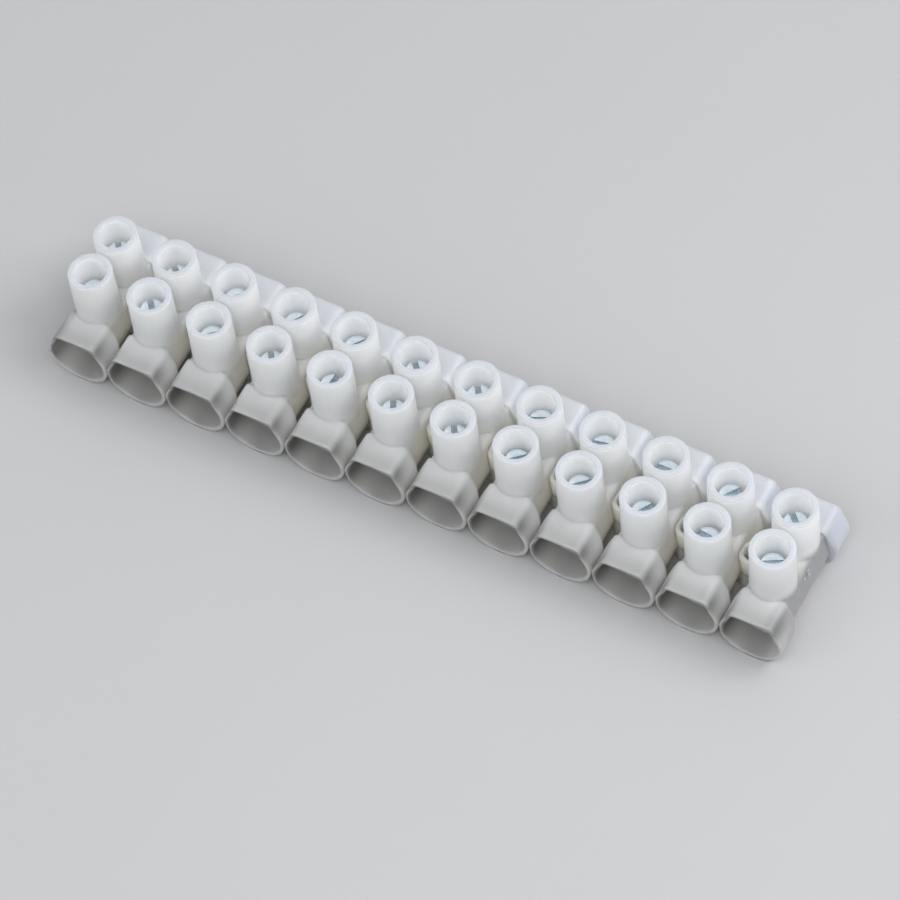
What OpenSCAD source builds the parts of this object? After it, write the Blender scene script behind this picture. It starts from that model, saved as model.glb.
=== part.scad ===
// Screw terminal strip with two rows of clamping screws, all backed out.
// One moulded housing carries a brass contact in each pole and two screws to each contact.
// X runs along the strip, -Y is the front, +Z is up and the underside lies on z = 0.

/* [Strip] */
// Number of poles
poles = 12; // [2:1:16]
// Distance from one pole to the next
pitch = 10; // [9.8:0.1:14]
// Overall width, from mouth to mouth
strip_w = 22.3; // [21.4:0.1:30]
// Overall height, from the underside to the chimney rims
strip_h = 18.4; // [16:0.1:24]

/* [Wire entries] */
// Radius of the round belly of an entry, which is half its width
entry_r = 4.84; // [4.4:0.02:4.88]
// Height of the flat top of an entry
entry_top = 9.75; // [9:0.05:12]
// Width of the top of an entry, over its rounded corners
entry_top_w = 7.2; // [5.5:0.1:8]
// Radius of the upper corners of an entry
entry_corner_r = 1.2; // [0.6:0.1:2]
// Length of an entry, from its mouth to its shoulders
entry_len = 4.9; // [4:0.1:5.3]
// Radius of the shoulders, seen from above
shoulder_r = 2.1; // [0.8:0.1:2.6]
// Wall at the lip of the mouth
lip_wall = 0.48; // [0.3:0.02:0.9]
// Distance from the end of the wide mouth to the shoulders behind it
mouth_back = 0.6; // [0.5:0.05:2]
// Length of the funnel behind the mouth
funnel_len = 0.6; // [0.4:0.05:1]
// Size of the nib that ties two neighbouring mouths
nib = 0.7; // [0.4:0.1:1.2]

/* [Tunnel] */
// Wall around the belly of a contact
tunnel_wall = 0.9; // [0.6:0.05:1.3]
// Wall beside the top of a contact
tunnel_side = 0.55; // [0.4:0.05:1]
// Wall over the top of a contact
tunnel_roof = 0.75; // [0.5:0.05:1.2]
// Radius of the upper corners of the tunnel
tunnel_corner_r = 0.8; // [0.4:0.1:1.2]

/* [Chimneys] */
// Distance between the two rows of screws
row_gap = 7.34; // [6.8:0.02:8.4]
// Outer diameter of a chimney at its rim
chimney_d = 6.66; // [6.2:0.02:7.2]
// Wall of a chimney at its rim
chimney_wall = 0.94; // [0.6:0.02:1.1]
// Chamfer on both edges of a rim
rim_chamfer = 0.12; // [0.04:0.02:0.2]
// Draft of a chimney, in degrees
chimney_draft = 0.6; // [0.1:0.1:1]
// Height of the narrow bore under each chimney, from the contact to the step
step_h = 1.6; // [1:0.1:3]

/* [Fixing eyes] */
// How far a fixing eye runs into the tunnels on either side
eye_bite = 0.85; // [0.4:0.05:0.9]
// Height of an eye
eye_h = 4.4; // [3:0.1:8]
// Diameter of the fixing hole
fixing_d = 2.6; // [2:0.1:3]
// Length of the web that runs through an eye, from one tunnel to the next
web_len = 6; // [4:0.1:7]
// Thickness of the web
web_t = 1.9; // [1:0.1:2.5]

/* [Contacts] */
// Radius of the round belly of a contact
contact_r = 2.95; // [2.7:0.05:3.2]
// Height of the flat top of a contact above the underside of the strip
contact_top = 8.6; // [8.2:0.05:9]
// Width of the top of a contact, over its rounded corners
contact_top_w = 5.2; // [4.8:0.1:5.6]
// Radius of the upper corners of a contact
contact_corner_r = 0.4; // [0.2:0.05:0.8]
// Diameter of the wire bore
wire_d = 4.2; // [3:0.1:4.6]
// Chamfer at both ends of the wire bore
wire_chamfer = 0.4; // [0.1:0.05:0.5]
// Clearance around a contact in its seat
contact_fit = 0.05; // [0.02:0.01:0.15]
// Distance from each end of a contact to the end of its seat
contact_inset = 0.1; // [0:0.05:0.6]
// Least wall from a tapped hole to the end of its contact
end_wall = 0.6; // [0.4:0.05:0.9]

/* [Screws] */
// Thread diameter of a screw
screw_d = 3; // [2.5:0.1:3.5]
// Diameter of the head
head_d = 3.5; // [3.4:0.1:4.3]
// Height of the head
head_h = 2; // [1.6:0.1:2.4]
// Chamfer around the top of the head
head_chamfer = 0.2; // [0.1:0.05:0.4]
// Width of the driver slot
slot_w = 0.8; // [0.5:0.05:1.2]
// Depth of the driver slot
slot_depth = 1; // [0.6:0.1:1.4]
// Chamfer at the tip of a screw
tip_chamfer = 0.35; // [0.1:0.05:0.6]
// Distance from the wire bore to the tip of the deepest screw
tip_gap = 0.06; // [0.02:0.02:0.6]
// Radial clearance of a screw in its tapped hole
thread_fit = 0.05; // [0.02:0.01:0.1]
// Radial clearance of a head in the narrow bore
head_fit = 0.2; // [0.1:0.05:0.3]

/* [Hidden] */
$fn = 64;
// How far each head stands below its rim, pole by pole
front_sunk = [4.4, 3.3, 4.0, 4.2, 3.9, 4.0, 4.0, 3.9, 3.9, 3.9, 4.0, 3.9];
rear_sunk = [4.2, 4.3, 4.1, 4.1, 4.0, 4.0, 3.9, 4.0, 4.0, 3.9, 3.5, 3.8];
// Direction of each slot, in degrees from the strip's length
front_slot = [27, 130, 42, 126, 88, 117, 125, 41, 44, 58, 172, 28];
rear_slot = [126, 140, 45, 56, 52, 135, 125, 23, 10, 178, 55, 135];
// How far the shoulder's round stands outside the entry, at its side and at its back
shoulder_out = 0.4;
shoulder_back = 0.2;
// How far a cut runs past what it cuts
past = 0.3;
// Smallest inner corner
least_corner_r = 0.2;
// How far a straight flank lies inside the rounds that it joins, so that it crosses them
flank_in = 0.01;

axis_z = entry_r;
mouth_y = strip_w / 2;
shoulder_y = mouth_y - entry_len;
row_y = row_gap / 2;
tap_r = screw_d / 2 + thread_fit;
least_seat_y = row_y + tap_r + end_wall + contact_inset;
seat_y = max(shoulder_y + mouth_back - funnel_len, least_seat_y);
funnel_y = seat_y + funnel_len;
seat_r = contact_r + contact_fit;
entry_half = entry_top_w / 2;
contact_half = contact_top_w / 2;
contact_y = seat_y - contact_inset;
tunnel_r = seat_r + tunnel_wall;
tunnel_top = contact_top + contact_fit + tunnel_roof;
tunnel_half = contact_half + contact_fit + tunnel_side;
rim_r = chimney_d / 2;
rim_z = strip_h - rim_chamfer;
foot_r = rim_r + (rim_z - axis_z) * tan(chimney_draft);
bore_r = rim_r - chimney_wall;
narrow_r = head_d / 2 + head_fit;
step_z = contact_top + step_h;
eye_r = pitch / 2 - tunnel_r + eye_bite;
deepest = max(concat(front_sunk, rear_sunk));
screw_len = strip_h - deepest - head_h - (axis_z + wire_d / 2 + tip_gap);

function pole_x(i) = (i - (poles + 1) / 2) * pitch;
function label(i) = str(i < 10 ? "0" : "", i);
function pick(list, i) = list[(i - 1) % len(list)];
function sunk(i, side) = pick(side < 0 ? front_sunk : rear_sunk, i);
function slot_angle(i, side) = pick(side < 0 ? front_slot : rear_slot, i);

// Direction square to the straight flank that touches both the belly and the upper corner
function flank(r, top, half, corner) =
    let (dx = half - corner, dz = top - corner - axis_z)
    atan2(dz, dx) - acos(min(1, (r - corner) / norm([dx, dz])));

// Section of an entry, a tunnel or a contact: round belly, leaning flanks, flat top
module arch(r, top, half, corner) {
    a = flank(r, top, half, corner);
    out = [cos(a), sin(a)];
    low = [0, axis_z] + (r - flank_in) * out;
    high = [half - corner, top - corner] + (corner - flank_in) * out;
    translate([0, axis_z]) circle(r);
    for (s = [-1, 1]) translate([s * (half - corner), top - corner]) circle(corner);
    polygon([
        low, high, [half - corner, top],
        [corner - half, top], [-high[0], high[1]], [-low[0], low[1]]
    ]);
}

// Stands a section up and runs it along Y between two places
module along(y0, y1) {
    translate([0, y1, 0]) rotate([90, 0, 0]) linear_extrude(y1 - y0) children();
}

// Shows what is made for the front end of a pole at both of its ends
module both_ends() {
    children();
    mirror([0, 1, 0]) children();
}

module every_pole() {
    for (i = [1:poles]) translate([pole_x(i), 0, 0]) children();
}

module every_gap() {
    for (i = [1:poles - 1]) translate([pole_x(i) + pitch / 2, 0, 0]) children();
}

// What the rounding takes off one shoulder of an entry, seen from above
module shoulder_plan() {
    difference() {
        translate([past / 2, past / 2]) square(shoulder_r + past);
        circle(shoulder_r);
    }
}

module entry() {
    difference() {
        along(-mouth_y, -shoulder_y) arch(entry_r, entry_top, entry_half, entry_corner_r);
        for (s = [0, 1]) mirror([s, 0, 0])
            translate([entry_r + shoulder_out - shoulder_r,
                       shoulder_back - shoulder_y - shoulder_r, -past])
                linear_extrude(entry_top + 2 * past) shoulder_plan();
    }
}

module mouth() {
    mouth_r = entry_r - lip_wall;
    wide_r = (seat_r + mouth_r) / 2;
    lead = (wide_r - seat_r) / funnel_len;
    along(-mouth_y - past, -funnel_y)
        arch(mouth_r, entry_top - lip_wall, entry_half - lip_wall,
             max(least_corner_r, entry_corner_r - lip_wall));
    translate([0, -funnel_y - past, axis_z]) rotate([-90, 0, 0])
        cylinder(h = funnel_len + past, r1 = wide_r + lead * past, r2 = seat_r);
}

module chimney() {
    translate([0, -row_y, axis_z]) cylinder(h = rim_z - axis_z, r1 = foot_r, r2 = rim_r);
    translate([0, -row_y, rim_z])
        cylinder(h = rim_chamfer, r1 = rim_r, r2 = rim_r - rim_chamfer);
}

module chimney_bore() {
    sink = rim_chamfer + past;
    translate([0, -row_y, rim_z]) cylinder(h = sink, r1 = bore_r, r2 = bore_r + sink);
    translate([0, -row_y, step_z]) cylinder(h = strip_h - step_z, r = bore_r);
    translate([0, -row_y, contact_top - past]) cylinder(h = step_h + 2 * past, r = narrow_r);
}

module mouth_nib() {
    span = pitch - 2 * entry_r + lip_wall;
    translate([-span / 2, nib / 2 - mouth_y, axis_z - nib / 2]) cube([span, nib, nib]);
}

module housing_outside() {
    every_pole() {
        along(-shoulder_y - past, shoulder_y + past)
            arch(tunnel_r, tunnel_top, tunnel_half, tunnel_corner_r);
        both_ends() {
            entry();
            chimney();
        }
    }
    every_gap() {
        cylinder(h = eye_h, r = eye_r);
        translate([-web_len / 2, -web_t / 2, 0]) cube([web_len, web_t, eye_h]);
        both_ends() mouth_nib();
    }
}

module housing_inside() {
    every_pole() {
        along(-seat_y - past / 2, seat_y + past / 2)
            arch(seat_r, contact_top + contact_fit,
                 contact_half + contact_fit, contact_corner_r + contact_fit);
        both_ends() {
            mouth();
            chimney_bore();
        }
    }
    every_gap() translate([0, 0, -past]) cylinder(h = eye_h + 2 * past, d = fixing_d);
}

module housing() {
    color([0.90, 0.92, 0.94]) difference() {
        union() housing_outside();
        housing_inside();
    }
}

module contact(i) {
    r = wire_d / 2;
    color([0.80, 0.66, 0.36]) translate([pole_x(i), 0, 0]) difference() {
        along(-contact_y, contact_y)
            arch(contact_r, contact_top, contact_half, contact_corner_r);
        along(-contact_y - past, contact_y + past) translate([0, axis_z]) circle(r);
        both_ends() {
            translate([0, -contact_y - past, axis_z]) rotate([-90, 0, 0])
                cylinder(h = wire_chamfer + past, r1 = r + wire_chamfer + past, r2 = r);
            translate([0, -row_y, axis_z]) cylinder(h = contact_top, r = tap_r);
        }
    }
}

// One screw with the top of its head on z = 0
module screw() {
    r = screw_d / 2;
    head_r = head_d / 2;
    tip_z = -head_h - screw_len;
    difference() {
        rotate_extrude() polygon([
            [0, 0], [head_r - head_chamfer, 0], [head_r, -head_chamfer], [head_r, -head_h],
            [r, -head_h], [r, tip_z + tip_chamfer], [r - tip_chamfer, tip_z], [0, tip_z]
        ]);
        translate([-head_d, -slot_w / 2, -slot_depth])
            cube([2 * head_d, slot_w, slot_depth + past]);
    }
}

module clamping_screw(i, side) {
    color([0.72, 0.80, 0.84])
        translate([pole_x(i), side * row_y, strip_h - sunk(i, side)])
            rotate([0, 0, slot_angle(i, side)]) screw();
}

housing();
for (i = [1:poles]) {
    contact(i);
    clamping_screw(i, -1);
    clamping_screw(i, 1);
}
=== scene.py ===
"""Looks of the screw terminal strip: moulded plastic, zinc-plated screws, brass contacts and a pale studio.

All sizes are in metres in the frame of the CAD model: X along the strip, -Y the front, Z up.
"""

import math
import random

import bmesh
import bpy
from mathutils import Matrix, Vector, noise


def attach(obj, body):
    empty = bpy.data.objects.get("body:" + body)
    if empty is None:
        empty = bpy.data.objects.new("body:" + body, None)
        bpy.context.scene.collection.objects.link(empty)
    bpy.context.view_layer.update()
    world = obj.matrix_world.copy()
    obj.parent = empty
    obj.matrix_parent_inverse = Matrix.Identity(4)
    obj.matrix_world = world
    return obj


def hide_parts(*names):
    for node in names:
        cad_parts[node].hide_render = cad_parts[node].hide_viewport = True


MM = 0.001
SAME_POINT = 1e-7
SAME_LEVEL = 1e-6

# The strip, as in the part's source
POLES = 12
PITCH = 10 * MM
AXIS_Z = 4.84 * MM
MOUTH_Y = 11.15 * MM
ENTRY_R = 4.84 * MM
MOUTH_R = 4.36 * MM
STRIP_H = 18.4 * MM
ROW_Y = 3.67 * MM
BORE_R = 2.39 * MM
FLANK_X = (POLES - 1) / 2 * PITCH + 2.9 * MM


def pole_x(i):
    return (i - (POLES + 1) / 2) * PITCH


# The upper part of the fixing eyes, which stands on the eyes of the CAD model
EYE_R = 1.95 * MM
EYE_HOLE_R = 1.3 * MM
EYE_FOOT = 4.39 * MM
EYE_TOP = 8.2 * MM
EYE_ROUND = 0.2 * MM
EYE_STEPS = 48

# The screws
HEAD_R = 1.75 * MM
HEAD_H = 2.0 * MM
HEAD_ROUND = 0.2 * MM
HEAD_FOOT = 0.08 * MM
HEAD_RING_R = 0.55 * HEAD_R
HEAD_STEPS = 64
SLOT_W = 0.8 * MM
SLOT_DEPTH = 1.0 * MM
SLOT_FLARE = 0.05 * MM
SLOT_CLEAR = 0.1 * MM
SLOT_TOOL_L = 3 * HEAD_R
THREAD_R = 1.5 * MM
ROOT_R = 1.2 * MM
THREAD_PITCH = 0.5 * MM
THREAD_STEPS = 28
TIP_CHAMFER = 0.35 * MM
SHANK_SUNK = 0.02 * MM

# How far the thread stands up from its root in the rows of one turn
THREAD_ROWS = (1.0, 1.0, 0.0, 0.0)

# The middles of the slot's own faces lie within these
IN_SLOT_Y = 0.54 * SLOT_W
IN_SLOT_Z = 1.01 * SLOT_DEPTH
IN_HEAD_R = 0.99 * HEAD_R

# The cut gate: specks on the flank of the last pole,
# each with its place along and up the flank and its radius
SCAR = Vector((pole_x(12) + 3.42 * MM, 0.1 * MM, 8.2 * MM))
FLANK_OUT = Vector((0.914, 0, 0.406))
FLANK_UP = Vector((-0.406, 0, 0.914))
FLANK_ALONG = Vector((0, 1, 0))
SPECKS = (
    (0.17 * MM, 0.86 * MM, 0.22 * MM),
    (0.52 * MM, 0.0, 0.3 * MM),
    (0.26 * MM, -0.55 * MM, 0.22 * MM),
    (-0.78 * MM, -0.19 * MM, 0.32 * MM),
)
SPECK_H = 0.12 * MM
SPECK_SUNK = 0.1 * MM
SPECK_RINGS = 7
SPECK_STEPS = 22
SPECK_SLOPE = 0.6

# How much a speck's edge and height vary, and how many waves of noise its radius takes up
EDGE_WOBBLE = 0.28
EDGE_WAVES = 1.7
HEIGHT_MEAN = 0.95
HEIGHT_WOBBLE = 0.9
HEIGHT_LEAST = 0.15
HEIGHT_WAVES = 4
HEIGHT_SEED = 3.1

# Torn fins on the lips of the front mouths,
# each with its pole, its first and last angle round the belly, how far it stands out, and its seed
FINS = (
    ("lip_flash", 12, -92, -42, 0.34 * MM, 7),
    ("tie_stub", 1, 181, 189, 0.5 * MM, 5),
)
FIN_SUNK = 0.06 * MM
FIN_BEHIND = (0.32 * MM, 0.16 * MM, 0.04 * MM, 0.02 * MM)
FIN_TIP = 0.9
FIN_LEAST = 0.35
FIN_STEPS = 26
FIN_LOWEST = 0.01 * MM

# Edges over these angles, in degrees, stay sharp
METAL_SHARP = 35
TORN_SHARP = 40
PLASTIC_SHARP = 50

# Colours of the plastic
# Bores' walls painted near white: painted light standing in for the light that passes through the thin
# walls.
BORE_PAINTED_LIGHT = (0.97, 0.985, 1.0, 1)
# Rims painted darker than the plastic: painted shade, so that their lit tops don't stand out from the
# bores.
RIM_PAINTED_SHADE = (0.54, 0.56, 0.6, 1)
# The milky plastic is painted darker at the front and lighter at the rear: painted shade on the front
# chimneys, and painted light on the rear ones, which the front ones shade.
MILKY_FRONT_PAINTED_SHADE = (0.69, 0.7, 0.7, 1)
MILKY_REAR_PAINTED_LIGHT = (0.97, 0.98, 0.99, 1)
# Between the poles the plastic is painted lighter and warm: painted light, tinted like the brass seen
# through the plastic.
GAP_PAINTED_LIGHT = (0.90, 0.86, 0.73, 1)
SHOULDER = (0.80, 0.81, 0.81, 1)
# Front wire entries painted dark, their tops darkest: painted shade.
ENTRY_TOP_PAINTED_SHADE = (0.165, 0.168, 0.167, 1)
ENTRY_SIDE_PAINTED_SHADE = (0.4, 0.402, 0.395, 1)
# Rear wire entries painted pale and bluish: painted light.
REAR_ENTRY_PAINTED_LIGHT = (0.54, 0.585, 0.695, 1)
# Mouths painted dark with paler floors: painted shade deep in the mouths, and painted light on their floors
# and right sides.
MOUTH_PAINTED_SHADE = (0.13, 0.13, 0.126, 1)
MOUTH_FLOOR_PAINTED_LIGHT = (0.4, 0.4, 0.395, 1)
# End flanks painted darker: painted shade, which holds back the side lamp's light on them.
END_PAINTED_SHADE = (0.33, 0.33, 0.345, 1)
TORN_DULL = (0.34, 0.34, 0.35, 1)
TORN_PALE = (0.46, 0.46, 0.47, 1)

# Where one tone of the plastic passes into the next
MIDDLE_Y = (-1 * MM, 1 * MM)
SHOULDER_Y = (4.5 * MM, 7 * MM)
CHIMNEY_Z = (6 * MM, 12 * MM)
BORE_Z = (11 * MM, 14 * MM)
BORE_WALL = (BORE_R, BORE_R + 0.25 * MM)
RIM_Z = (STRIP_H - 0.3 * MM, STRIP_H - 0.1 * MM)
END_X = (FLANK_X - 1.4 * MM, FLANK_X)
ENTRY_Z = (8.6 * MM, 11.5 * MM)
ENTRY_TOP_Z = (6 * MM, 9 * MM)
FRONT_Y = (-10.8 * MM, -5.8 * MM)
REAR_Y = (5.5 * MM, 8 * MM)
MOUTH_WALL = (MOUTH_R + 0.1 * MM, ENTRY_R - 0.1 * MM)
MOUTH_DEPTH = (6.7 * MM, 7.2 * MM)
MOUTH_SIDE = (1.5 * MM, 4 * MM)
MOUTH_FLOOR_Z = (1 * MM, 4 * MM)
SHARP_Z = (11 * MM, 13 * MM)

# Light in the plastic
PLASTIC_IOR = 1.51
SCATTER_RGB = (1.0, 0.97, 0.93)
TORN_SCATTER_RGB = (1.0, 0.97, 0.92)

# Colours of the metals and the floor
PLATE = (0.74, 0.84, 0.90, 1)
PLATE_TINT = (0.82, 0.90, 0.94, 1)
# Slots painted darker than the plate: painted shade in the slots.
SLOT_PAINTED_SHADE = (0.33, 0.40, 0.45, 1)
SLOT_TINT_PAINTED_SHADE = (0.45, 0.52, 0.56, 1)
BRASS = (0.80, 0.60, 0.28, 1)
TARNISH = (0.62, 0.44, 0.19, 1)
PAPER = (0.49, 0.49, 0.495, 1)
PAPER_PALE = (0.51, 0.51, 0.515, 1)

# Most of a noise's values lie between these
NOISE_RANGE = (0.3, 0.7)
RISE = (0.0, 1.0)
FALL = (1.0, 0.0)

# The studio
FLOOR_SIZE = 2.0
FLOOR_Z = -0.03 * MM
LAMP_SIZE = (0.45, 0.35)
LAMPS = (
    ("key", (-0.30, -0.42, 0.42), 0.6),
    ("fill", (0.19, -0.32, 0.68), 1.9),
    ("side", (0.40, 0.16, 0.52), 2.3),
)
DOME = (0.95, 0.97, 1.0, 1)
DOME_STRENGTH = 0.53

# The camera stands where the photograph was taken from
CAMERA = Vector((0.19139, -0.273786, 0.52885))
RIGHT = Vector((0.881612, 0.46578, -0.076218))
DOWN = Vector((0.360091, -0.768191, -0.529356))
AHEAD = Vector((-0.305113, 0.439241, -0.84497))
SENSOR_W = 36
LENS = 171.556
CLIP = (0.01, 10)


# Materials


class Shader:
    """A material with one Principled shader, and short ways to add nodes to it."""

    def __init__(self, name):
        self.material = bpy.data.materials.new(name)
        self.material.use_nodes = True
        self.tree = self.material.node_tree
        self.bsdf = self.tree.nodes["Principled BSDF"]
        self.coord = self.tree.nodes.new("ShaderNodeTexCoord").outputs["Object"]

    def set(self, **values):
        for key, value in values.items():
            self.bsdf.inputs[key.replace("_", " ")].default_value = value

    def feed(self, socket, source):
        self.tree.links.new(source, self.bsdf.inputs[socket])

    def put(self, node, socket, value):
        """Sets a socket to a constant, or links it to another node's output."""
        if isinstance(value, bpy.types.NodeSocket):
            self.tree.links.new(value, node.inputs[socket])
        else:
            node.inputs[socket].default_value = value

    def scaled(self, scale):
        """The place on the object, with each axis scaled."""
        node = self.tree.nodes.new("ShaderNodeMapping")
        self.tree.links.new(self.coord, node.inputs["Vector"])
        node.inputs["Scale"].default_value = scale
        return node.outputs["Vector"]

    def noise(self, size, detail, stretch=(1, 1, 1)):
        """Noise whose features are about this size, stretched along an axis where asked."""
        node = self.tree.nodes.new("ShaderNodeTexNoise")
        self.put(node, "Vector", self.scaled([1 / s for s in stretch]))
        self.put(node, "Scale", 1 / size)
        self.put(node, "Detail", detail)
        return node.outputs["Fac"]

    def axis(self, letter):
        node = self.tree.nodes.new("ShaderNodeSeparateXYZ")
        self.tree.links.new(self.coord, node.inputs["Vector"])
        return node.outputs[letter]

    def off_axis(self):
        """Distance from the object's own Z axis."""
        node = self.tree.nodes.new("ShaderNodeVectorMath")
        node.operation = "LENGTH"
        self.put(node, 0, self.scaled((1, 1, 0)))
        return node.outputs["Value"]

    def math(self, operation, *values):
        node = self.tree.nodes.new("ShaderNodeMath")
        node.operation = operation
        for k, value in enumerate(values):
            self.put(node, k, value)
        return node.outputs["Value"]

    def length(self, a, b):
        """Length of the diagonal over two distances."""
        squares = (self.math("POWER", side, 2.0) for side in (a, b))
        return self.math("SQRT", self.math("ADD", *squares))

    def span(self, value, over, onto=RISE):
        """Maps a value from one range to another, smoothly and clamped."""
        node = self.tree.nodes.new("ShaderNodeMapRange")
        node.interpolation_type = "SMOOTHSTEP"
        self.put(node, "Value", value)
        self.put(node, "From Min", over[0])
        self.put(node, "From Max", over[1])
        self.put(node, "To Min", onto[0])
        self.put(node, "To Max", onto[1])
        return node.outputs["Result"]

    def mix(self, factor, a, b):
        node = self.tree.nodes.new("ShaderNodeMix")
        node.data_type = "RGBA"
        self.put(node, 0, factor)
        self.put(node, 6, a)
        self.put(node, 7, b)
        return node.outputs[2]

    def bump(self, height, strength, distance, normal=None):
        node = self.tree.nodes.new("ShaderNodeBump")
        self.put(node, "Strength", strength)
        self.put(node, "Distance", distance)
        self.put(node, "Height", height)
        if normal is not None:
            self.put(node, "Normal", normal)
        return node.outputs["Normal"]

    def rounded(self, radius):
        """Normal that rounds the sharp edges off a little."""
        node = self.tree.nodes.new("ShaderNodeBevel")
        node.samples = 6
        self.put(node, "Radius", radius)
        return node.outputs["Normal"]


def chimney_tone(s, beside, y, z):
    """Milky chimneys, darkened at the front with painted shade and lightened at the rear with painted
    light, with bores painted light and rims painted darker, over the gaps painted light and the shoulders
    between the poles.
    """
    depth = s.math("ABSOLUTE", y)
    cloud = s.span(s.noise(size=5 * MM, detail=3), NOISE_RANGE, onto=(-1.2 * MM, 1.2 * MM))
    # Painted shade towards the front and painted light towards the rear of the chimneys.
    milky = s.mix(s.span(y, MIDDLE_Y), MILKY_FRONT_PAINTED_SHADE, MILKY_REAR_PAINTED_LIGHT)
    # Painted light between the poles, passing into the shoulders.
    low = s.mix(s.span(depth, SHOULDER_Y), GAP_PAINTED_LIGHT, SHOULDER)
    tone = s.mix(s.span(s.math("ADD", z, cloud), CHIMNEY_Z), low, milky)
    from_screw = s.length(beside, s.math("SUBTRACT", depth, ROW_Y))
    # Painted light on the walls of the bores, higher up.
    bore = s.math("MULTIPLY", s.span(from_screw, BORE_WALL, FALL), s.span(z, BORE_Z))
    tone = s.mix(bore, tone, BORE_PAINTED_LIGHT)
    # Painted shade on the tops of the rims.
    return s.mix(s.span(z, RIM_Z), tone, RIM_PAINTED_SHADE)


def outer_tone(s, x, beside, y, z):
    """The chimneys above, and below them the end flanks and the front wire entries darkened with painted
    shade and the rear wire entries lightened with painted bluish light.
    """
    below = s.span(z, ENTRY_Z, FALL)
    # Painted shade on the end flanks below the chimneys.
    end = s.math("MULTIPLY", s.span(s.math("ABSOLUTE", x), END_X), below)
    tone = s.mix(end, chimney_tone(s, beside, y, z), END_PAINTED_SHADE)
    # Painted shade on the front wire entries below the chimneys.
    front = s.math("MULTIPLY", s.span(y, FRONT_Y, FALL), below)
    entry_painted_shade = s.mix(s.span(z, ENTRY_TOP_Z), ENTRY_SIDE_PAINTED_SHADE, ENTRY_TOP_PAINTED_SHADE)
    # Painted bluish light on the rear wire entries below the chimneys.
    rear = s.math("MULTIPLY", s.span(y, REAR_Y), below)
    return s.mix(rear, s.mix(front, tone, entry_painted_shade), REAR_ENTRY_PAINTED_LIGHT)


def painted_mouth_shade(s, beside, z):
    """Painted shade deep in a wire mouth, with painted light on its floor and its right side."""
    hollow_painted_shade = s.mix(s.span(beside, MOUTH_SIDE), MOUTH_PAINTED_SHADE, MOUTH_FLOOR_PAINTED_LIGHT)
    return s.mix(s.span(z, MOUTH_FLOOR_Z), MOUTH_FLOOR_PAINTED_LIGHT, hollow_painted_shade)


def plastic():
    """Natural polyethylene, milky in the chimneys, with light and shade painted into its colour: painted
    light in the bores and between the poles, painted shade on the rims, the thin entries and their mouths.
    """
    s = Shader("natural_plastic")
    x, y, z = (s.axis(letter) for letter in "XYZ")
    beside = s.math("SUBTRACT", s.math("WRAP", x, PITCH, 0.0), PITCH / 2)
    near_axis = s.span(s.length(beside, s.math("SUBTRACT", z, AXIS_Z)), MOUTH_WALL, FALL)
    # Mask of the mouths, where their painted shade goes.
    mouth_shade_mask = s.math("MULTIPLY", near_axis, s.span(s.math("ABSOLUTE", y), MOUTH_DEPTH))
    s.feed("Base Color", s.mix(mouth_shade_mask, outer_tone(s, x, beside, y, z), painted_mouth_shade(s, beside, z)))
    s.set(IOR=PLASTIC_IOR, Subsurface_Weight=1.0, Subsurface_Radius=SCATTER_RGB, Subsurface_Scale=3 * MM)
    s.feed("Roughness", s.span(s.noise(size=1.2 * MM, detail=3), NOISE_RANGE, onto=(0.34, 0.5)))
    soft = s.rounded(s.span(z, SHARP_Z, onto=(0.7 * MM, 0.14 * MM)))
    waves = s.bump(s.noise(size=2.6 * MM, detail=1), strength=0.25, distance=0.12 * MM, normal=soft)
    grain = s.bump(s.noise(size=0.18 * MM, detail=2), strength=0.18, distance=0.02 * MM, normal=waves)
    s.feed("Normal", grain)
    return s.material


def torn_plastic():
    """The same plastic where it was cut or torn: mottled and rough."""
    s = Shader("torn_plastic")
    mottle = s.span(s.noise(size=0.35 * MM, detail=3), (0.38, 0.62))
    s.feed("Base Color", s.mix(mottle, TORN_DULL, TORN_PALE))
    s.set(IOR=PLASTIC_IOR, Subsurface_Weight=1.0, Subsurface_Radius=TORN_SCATTER_RGB)
    s.set(Subsurface_Scale=0.5 * MM)
    s.feed("Roughness", s.span(s.noise(size=0.2 * MM, detail=3), NOISE_RANGE, onto=(0.5, 0.8)))
    s.feed("Normal", s.bump(s.noise(size=0.12 * MM, detail=3), strength=0.6, distance=0.05 * MM))
    return s.material


def zinc(name, clean, tinted, roughness):
    """Zinc plate with a bluish passivation and turning marks."""
    s = Shader(name)
    s.set(Metallic=1.0)
    patches = s.span(s.noise(size=0.9 * MM, detail=3), (0.35, 0.65))
    s.feed("Base Color", s.mix(patches, clean, tinted))
    s.feed("Roughness", s.span(s.noise(size=0.25 * MM, detail=3), NOISE_RANGE, onto=roughness))
    wobble = s.math("MULTIPLY", s.noise(size=0.5 * MM, detail=2), 0.12 * MM)
    turned = s.math("ADD", s.off_axis(), wobble)
    rings = s.math("SINE", s.math("MULTIPLY", turned, 2 * math.pi / (0.09 * MM)))
    marks = s.bump(rings, strength=0.3, distance=0.006 * MM, normal=s.rounded(0.05 * MM))
    grain = s.bump(s.noise(size=0.1 * MM, detail=2), strength=0.1, distance=0.01 * MM, normal=marks)
    s.feed("Normal", grain)
    return s.material


def brass():
    """Drawn brass with fine lines along the bar and a little tarnish."""
    s = Shader("drawn_brass")
    s.set(Metallic=1.0)
    lines = s.noise(size=0.12 * MM, detail=2, stretch=(1, 60, 1))
    tarnish = s.span(s.noise(size=2.2 * MM, detail=3), (0.35, 0.7))
    s.feed("Base Color", s.mix(tarnish, BRASS, TARNISH))
    s.feed("Roughness", s.span(lines, NOISE_RANGE, onto=(0.24, 0.42)))
    s.feed("Normal", s.bump(lines, strength=0.35, distance=0.01 * MM, normal=s.rounded(0.06 * MM)))
    return s.material


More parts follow.
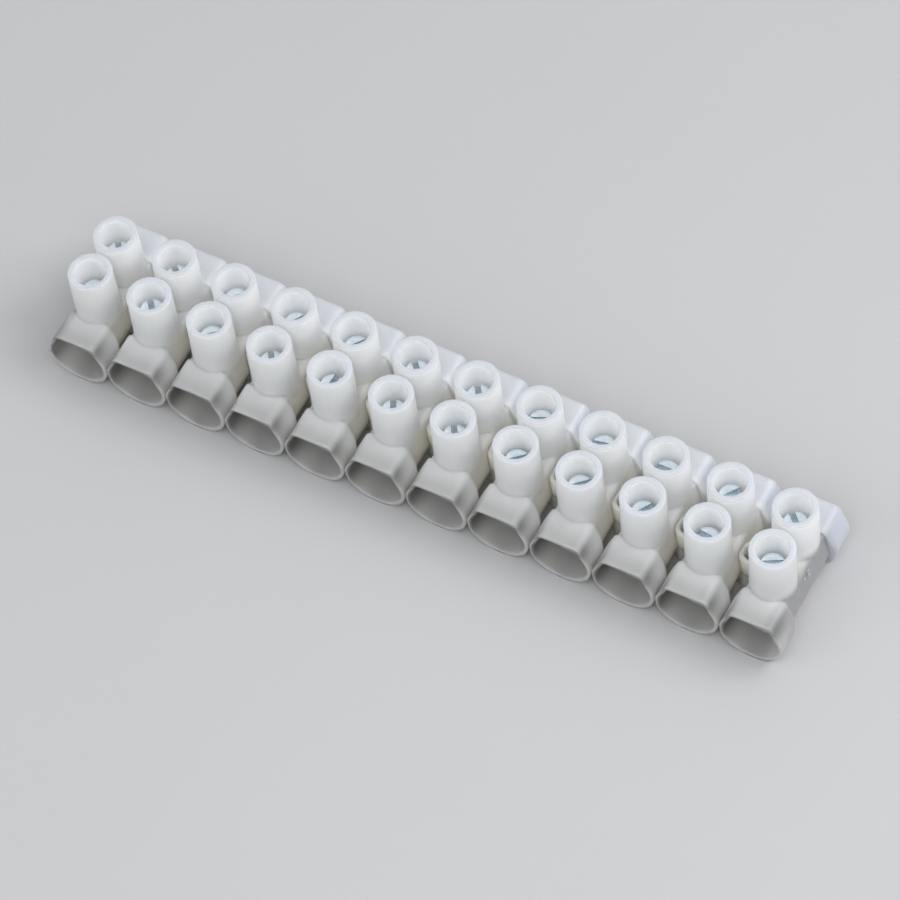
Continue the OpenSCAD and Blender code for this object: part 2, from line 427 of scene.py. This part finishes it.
def paper():
    """Pale, matt floor."""
    s = Shader("pale_floor")
    s.feed("Base Color", s.mix(s.noise(size=60 * MM, detail=2), PAPER, PAPER_PALE))
    s.feed("Roughness", s.span(s.noise(size=4 * MM, detail=2), NOISE_RANGE, onto=(0.8, 0.9)))
    return s.material


# Meshes


def new_object(name, mesh, material=None):
    obj = bpy.data.objects.new(name, mesh)
    bpy.context.collection.objects.link(obj)
    if material is not None:
        obj.data.materials.append(material)
    return obj


def new_mesh(name, bm):
    """A mesh from a bmesh, which is freed."""
    mesh = bpy.data.meshes.new(name)
    bm.to_mesh(mesh)
    bm.free()
    return mesh


def shade(mesh, degrees):
    """Smooth shading with edges over this angle kept sharp."""
    mesh.polygons.foreach_set("use_smooth", [True] * len(mesh.polygons))
    mesh.set_sharp_from_angle(angle=math.radians(degrees))


def moulded_piece(name, bm, degrees, material):
    """An object from a bmesh, with its faces turned outwards."""
    bmesh.ops.recalc_face_normals(bm, faces=bm.faces)
    mesh = new_mesh(name, bm)
    shade(mesh, degrees)
    return new_object(name, mesh, material)


def join_rings(bm, inner, outer, steps):
    """Faces between two rings of points. A ring of one point closes the form."""
    for k in range(steps):
        a, b = inner[k % len(inner)], inner[(k + 1) % len(inner)]
        c, d = outer[(k + 1) % len(outer)], outer[k % len(outer)]
        bm.faces.new(list(dict.fromkeys((a, d, c, b))))


def lathe(bm, profile, steps):
    """Turns a list of (radius, height) round Z."""
    turn = [2 * math.pi * k / steps for k in range(steps)]
    rings = []
    for r, z in profile:
        if r == 0:
            rings.append([bm.verts.new((0, 0, z))])
        else:
            rings.append([bm.verts.new((r * math.cos(a), r * math.sin(a), z)) for a in turn])
    for upper, lower in zip(rings, rings[1:]):
        join_rings(bm, upper, lower, steps)


def quarter(radius, round_r, top, degrees):
    """A rounded edge in section, as points of (radius, height) at these angles."""
    arc = [math.radians(a) for a in degrees]
    return [(radius - round_r + round_r * math.cos(a), top - round_r + round_r * math.sin(a)) for a in arc]


def cut(mesh, tool):
    """The mesh less the tool's mesh, by an exact Boolean."""
    body = new_object("cut_body", mesh)
    knife = new_object("cut_knife", tool)
    step = body.modifiers.new("cut", "BOOLEAN")
    step.operation = "DIFFERENCE"
    step.solver = "EXACT"
    step.object = knife
    graph = bpy.context.evaluated_depsgraph_get()
    result = bpy.data.meshes.new_from_object(body.evaluated_get(graph))
    for obj, data in ((body, mesh), (knife, tool)):
        bpy.data.objects.remove(obj)
        bpy.data.meshes.remove(data)
    return result


def slot_tool():
    """A bar along X as deep as the slot, a little wider at its top, which stands clear of the head."""
    bm = bmesh.new()
    bmesh.ops.create_cube(bm, size=1)
    for v in bm.verts:
        x, y, z = v.co
        width = SLOT_W if z < 0 else SLOT_W + 2 * SLOT_FLARE
        v.co = (x * SLOT_TOOL_L, y * width, -SLOT_DEPTH if z < 0 else SLOT_CLEAR)
    return new_mesh("slot", bm)


def head_mesh():
    """Slotted cheese head with rounded edges, its top on z = 0."""
    bm = bmesh.new()
    edge = quarter(HEAD_R, HEAD_ROUND, 0, (90, 67.5, 45, 22.5, 0))
    under = [(HEAD_R, -HEAD_H + HEAD_FOOT), (HEAD_R - HEAD_FOOT, -HEAD_H)]
    lathe(bm, [(0, 0), (HEAD_RING_R, 0)] + edge + under + [(0, -HEAD_H)], HEAD_STEPS)
    bmesh.ops.recalc_face_normals(bm, faces=bm.faces)
    return cut(new_mesh("head", bm), slot_tool())


def thread_radius(stand, z, top, tip):
    """Radius of the thread at a height, less at the tip's chamfer and where it runs out under the head."""
    full = THREAD_R - ROOT_R
    r = min(ROOT_R + full * stand, THREAD_R - TIP_CHAMFER + (z - tip))
    if z > top - THREAD_PITCH:
        r = min(r, ROOT_R + full * (top - z) / THREAD_PITCH)
    return r


def thread_grid(bm, top, length):
    """Points of the thread in rows that follow the helix."""
    rows = len(THREAD_ROWS)
    turns = int(length / THREAD_PITCH)
    tip = top - length
    grid = []
    for row in range((turns + 1) * rows + 1):
        line = []
        for k in range(THREAD_STEPS):
            down = (row / rows - 1 + k / THREAD_STEPS) * THREAD_PITCH
            z = min(top, max(tip, top - down))
            r = thread_radius(THREAD_ROWS[row % rows], z, top, tip)
            a = 2 * math.pi * k / THREAD_STEPS
            line.append(bm.verts.new((r * math.cos(a), r * math.sin(a), z)))
        grid.append(line)
    return grid


def thread(bm, top, length):
    """A threaded shank. One turn on, each row meets the row a pitch further down."""
    grid = thread_grid(bm, top, length)
    last, rows = THREAD_STEPS - 1, len(THREAD_ROWS)
    for upper, lower in zip(grid, grid[1:]):
        for k in range(last):
            bm.faces.new((upper[k], lower[k], lower[k + 1], upper[k + 1]))
    for row in range(len(grid) - 1 - rows):
        a, b = grid[row][last], grid[row + rows][0]
        c, d = grid[row + rows + 1][0], grid[row + 1][last]
        bm.faces.new((a, d, c, b))
    bm.faces.new(grid[-1])


def in_slot(middle):
    """Whether the face with this middle is a wall or the floor of the slot."""
    below_top = -IN_SLOT_Z < middle.z < -SAME_LEVEL
    return below_top and abs(middle.y) < IN_SLOT_Y and middle.xy.length < IN_HEAD_R


def screw_mesh(length, plated, shaded):
    """One screw with its head's top on z = 0, its slot along X and a shank of this length."""
    mesh = head_mesh()
    bm = bmesh.new()
    bm.from_mesh(mesh)
    thread(bm, -HEAD_H + SHANK_SUNK, length + SHANK_SUNK)
    bmesh.ops.remove_doubles(bm, verts=bm.verts, dist=SAME_POINT)
    for face in bm.faces:
        # The faces of the slots take the second material, whose darker zinc is painted shade.
        face.material_index = int(in_slot(face.calc_center_median()))
    mesh.materials.append(plated)
    mesh.materials.append(shaded)
    bm.to_mesh(mesh)
    bm.free()
    mesh.name = "slotted_screw"
    shade(mesh, METAL_SHARP)
    return mesh


def eye_collars(name, material):
    """A round tube between each pole and the next, one mesh for the whole strip."""
    edge = quarter(EYE_R, EYE_ROUND, EYE_TOP, (0, 30, 60, 90))
    lip = [(EYE_HOLE_R + EYE_ROUND / 2, EYE_TOP), (EYE_HOLE_R, EYE_TOP - EYE_ROUND / 2)]
    section = [(EYE_R, EYE_FOOT)] + edge + lip + [(EYE_HOLE_R, EYE_FOOT), (EYE_R, EYE_FOOT)]
    bm = bmesh.new()
    for gap in range(1, POLES):
        first = len(bm.verts)
        lathe(bm, section, EYE_STEPS)
        bm.verts.ensure_lookup_table()
        middle = (pole_x(gap) + pole_x(gap + 1)) / 2
        for v in bm.verts[first:]:
            v.co.x += middle
    bmesh.ops.remove_doubles(bm, verts=bm.verts, dist=SAME_POINT)
    return moulded_piece(name, bm, PLASTIC_SHARP, material)


def ragged_disc(bm, seed):
    """A flat disc of about radius 1 with an uneven edge."""
    rings = [[bm.verts.new((0, 0, 0))]]
    for k in range(1, SPECK_RINGS + 1):
        ring = []
        for j in range(SPECK_STEPS):
            a = 2 * math.pi * j / SPECK_STEPS
            where = Vector((math.cos(a) * EDGE_WAVES, math.sin(a) * EDGE_WAVES, seed))
            r = k / SPECK_RINGS * (1 + EDGE_WOBBLE * noise.noise(where))
            ring.append(bm.verts.new((r * math.cos(a), r * math.sin(a), 0)))
        rings.append(ring)
    for inner, outer in zip(rings, rings[1:]):
        join_rings(bm, inner, outer, SPECK_STEPS)


def rough_patch(name, middle, radius, seed, material):
    """A low torn mound on the leaning flank of the last pole, with its edge sunk in the wall."""
    bm = bmesh.new()
    ragged_disc(bm, seed)
    for v in bm.verts:
        r = v.co.xy.length
        where = Vector((v.co.x * HEIGHT_WAVES, v.co.y * HEIGHT_WAVES, seed + HEIGHT_SEED))
        rough = max(HEIGHT_LEAST, HEIGHT_MEAN + HEIGHT_WOBBLE * noise.noise(where))
        lift = SPECK_H * max(0.0, 1 - r * r) ** SPECK_SLOPE * rough
        place = middle + FLANK_ALONG * v.co.x * radius + FLANK_UP * v.co.y * radius
        v.co = place + FLANK_OUT * (lift - SPECK_SUNK)
    return moulded_piece(name, bm, PLASTIC_SHARP, material)


def fin_section(tall):
    """Section of a fin that stands this far off the wall, as points of (radius, Y)."""
    radii = (ENTRY_R - FIN_SUNK, ENTRY_R + tall, ENTRY_R + tall * FIN_TIP, ENTRY_R - FIN_SUNK)
    return [(r, -MOUTH_Y + behind) for r, behind in zip(radii, FIN_BEHIND)]


def flash(name, pole, start, stop, reach, seed, material):
    """A thin torn fin along the lip of a front mouth, between two angles of its round belly."""
    random.seed(seed)
    bm = bmesh.new()
    rows = []
    for k in range(FIN_STEPS + 1):
        t = k / FIN_STEPS
        a = math.radians(start + (stop - start) * t)
        fade = math.sqrt(math.sin(math.pi * t))
        tall = reach * fade * (FIN_LEAST + (1 - FIN_LEAST) * random.random())
        row = []
        for r, y in fin_section(tall):
            z = max(AXIS_Z + r * math.sin(a), FIN_LOWEST)
            row.append(bm.verts.new((pole_x(pole) + r * math.cos(a), y, z)))
        rows.append(row)
    for a, b in zip(rows, rows[1:]):
        join_rings(bm, a, b, len(FIN_BEHIND))
    bm.faces.new(rows[0])
    bm.faces.new(list(reversed(rows[-1])))
    return moulded_piece(name, bm, TORN_SHARP, material)


# The object


def screw_place(node):
    """Where a CAD screw stands: the middle of its head's top, the way its slot runs, and its height."""
    points = [node.matrix_world @ v.co for v in node.data.vertices]
    low, high = ([pick(p[k] for p in points) for k in range(3)] for pick in (min, max))
    x, y = ((low[k] + high[k]) / 2 for k in (0, 1))
    top, tip = high[2], low[2]
    floor = [p for p in points if abs(p.z - top + SLOT_DEPTH) < SAME_LEVEL]
    along = sum((p.x - x) ** 2 - (p.y - y) ** 2 for p in floor)
    skew = sum(2 * (p.x - x) * (p.y - y) for p in floor)
    return Vector((x, y, top)), math.atan2(skew, along) / 2, top - tip


def coat(nodes, moulded, drawn):
    """Gives the housing and the contacts of the CAD model their materials."""
    for name, node in nodes.items():
        if name == "housing" or name.startswith("contact"):
            node.data.materials.clear()
            node.data.materials.append(moulded if name == "housing" else drawn)


def set_screws(nodes, plated, slot_shade_zinc):
    """Puts a threaded screw in the place of each CAD screw."""
    mesh = None
    for name, node in nodes.items():
        if not name.startswith("screw"):
            continue
        place, slot, height = screw_place(node)
        mesh = mesh or screw_mesh(height - HEAD_H, plated, slot_shade_zinc)
        screw = new_object(f"zinc_{name}", mesh)
        screw.matrix_world = Matrix.Translation(place) @ Matrix.Rotation(slot, 4, "Z")
        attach(screw, name)
        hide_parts(name)


def add_to_housing(moulded, torn):
    """The specks of the cut gate, the torn fins at both ends and the upper part of the eyes."""
    pieces = []
    for k, (along, up, radius) in enumerate(SPECKS, 1):
        middle = SCAR + FLANK_ALONG * along + FLANK_UP * up
        pieces.append(rough_patch(f"gate_scar_{k}", middle, radius, k, torn))
    for fin in FINS:
        pieces.append(flash(*fin, torn))
    pieces.append(eye_collars("eye_collars", moulded))
    for piece in pieces:
        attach(piece, "strip")


# The studio


def add_floor():
    bm = bmesh.new()
    bmesh.ops.create_grid(bm, x_segments=8, y_segments=8, size=FLOOR_SIZE)
    floor = new_object("floor", new_mesh("floor", bm), paper())
    floor.location.z = FLOOR_Z


def add_lamps():
    """Soft lamps, all aimed at the middle of the strip, under an even dome."""
    for name, place, power in LAMPS:
        lamp = bpy.data.lights.new(name, "AREA")
        lamp.shape = "RECTANGLE"
        lamp.size, lamp.size_y = LAMP_SIZE
        lamp.energy = power
        obj = new_object(name, lamp)
        obj.location = place
        obj.rotation_euler = (-Vector(place)).to_track_quat("-Z", "Y").to_euler()
    world = bpy.data.worlds.new("studio")
    world.use_nodes = True
    background = world.node_tree.nodes["Background"]
    background.inputs["Color"].default_value = DOME
    background.inputs["Strength"].default_value = DOME_STRENGTH
    bpy.context.scene.world = world


def add_camera():
    view = bpy.data.cameras.new("camera")
    view.sensor_width = SENSOR_W
    view.lens = LENS
    view.clip_start, view.clip_end = CLIP
    camera = new_object("camera", view)
    turn = Matrix((RIGHT, -DOWN, -AHEAD)).transposed().to_4x4()
    camera.matrix_world = Matrix.Translation(CAMERA) @ turn
    bpy.context.scene.camera = camera
    bpy.context.scene.view_settings.view_transform = "Standard"


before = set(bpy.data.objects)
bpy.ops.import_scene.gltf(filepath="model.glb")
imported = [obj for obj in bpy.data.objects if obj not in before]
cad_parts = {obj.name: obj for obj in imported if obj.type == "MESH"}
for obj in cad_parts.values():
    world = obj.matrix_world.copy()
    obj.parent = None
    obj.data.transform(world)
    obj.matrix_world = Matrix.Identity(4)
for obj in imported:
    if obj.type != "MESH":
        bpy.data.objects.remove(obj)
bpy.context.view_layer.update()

plastic_skin = plastic()
coat(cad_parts, plastic_skin, brass())
plate = zinc("zinc_plate", PLATE, PLATE_TINT, roughness=(0.16, 0.28))
# Zinc for the slots, darkened as painted shade.
slot_painted_shade_zinc = zinc("zinc_slot", SLOT_PAINTED_SHADE, SLOT_TINT_PAINTED_SHADE, roughness=(0.35, 0.5))
set_screws(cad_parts, plate, slot_painted_shade_zinc)
add_to_housing(plastic_skin, torn_plastic())

add_floor()
add_lamps()
add_camera()
